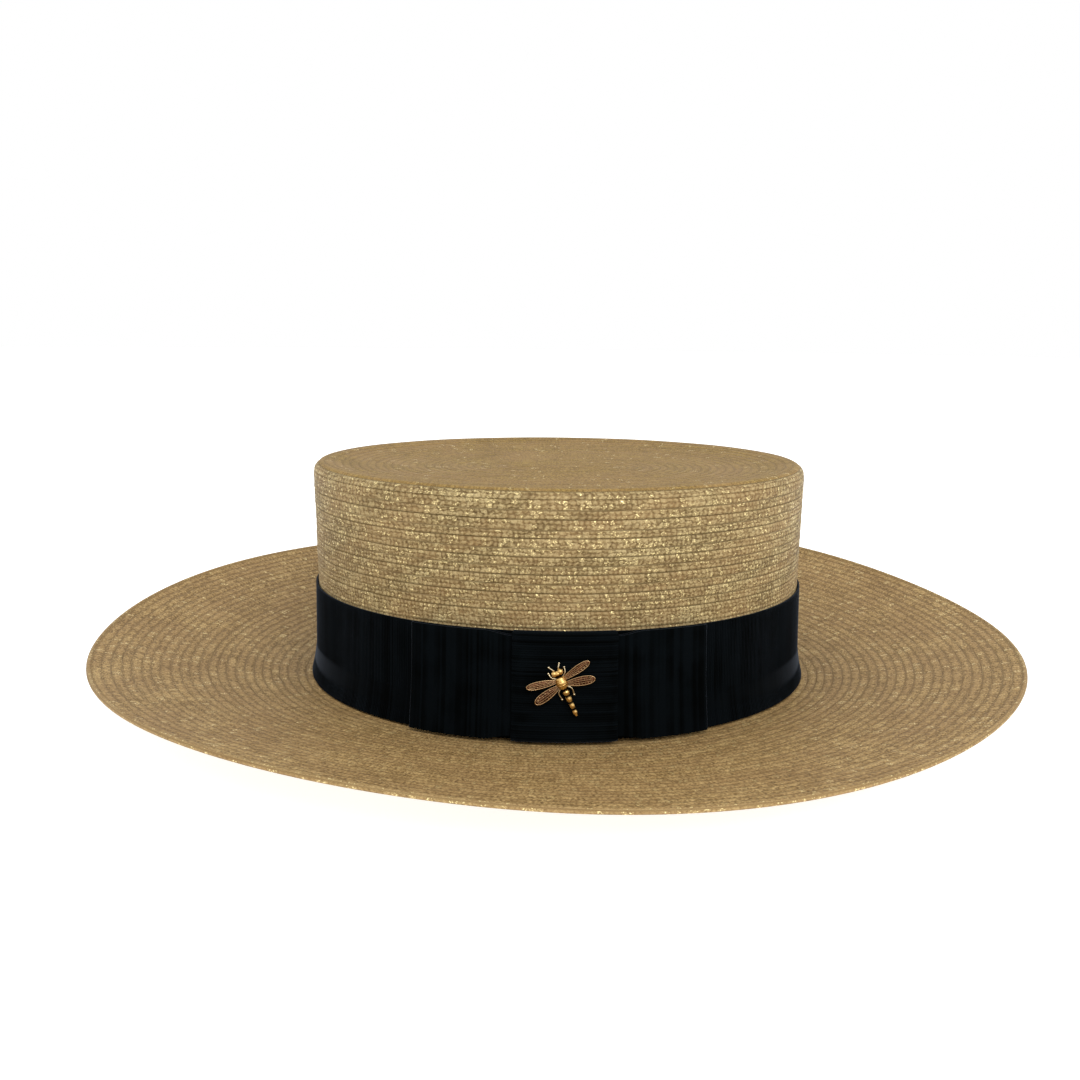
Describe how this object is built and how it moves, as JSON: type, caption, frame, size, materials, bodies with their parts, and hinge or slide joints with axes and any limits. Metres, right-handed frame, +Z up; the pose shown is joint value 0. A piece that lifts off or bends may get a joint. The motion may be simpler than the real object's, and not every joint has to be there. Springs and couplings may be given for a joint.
{
  "type": "straw boater hat",
  "caption": "Straw boater hat: low flat oval crown, wide brim turned up a little, black ribbed ribbon band with a flat bow, and a small brass dragonfly pin on its knot.",
  "frame": {"origin": "centre of the head opening, on the surface that the hat rests on", "axes": "+X towards the back of the hat along the oval's long axis, +Y towards the wearer's right, +Z up to the crown's top; the bow faces -Y"},
  "size_m": [0.3708, 0.3408, 0.089],
  "materials": {
    "straw": "plaited paper straw with a fine gold metallic yarn, sewn in rows",
    "ribbon": "matt black ribbed ribbon",
    "brass": "cast and antiqued"
  },
  "bodies": {
    "root": {"crown": "straw", "brim": "straw", "ribbon_band": "ribbon", "bow_loops": "ribbon", "bow_knot": "ribbon", "dragonfly_pin": "brass"}
  },
  "joints": []
}
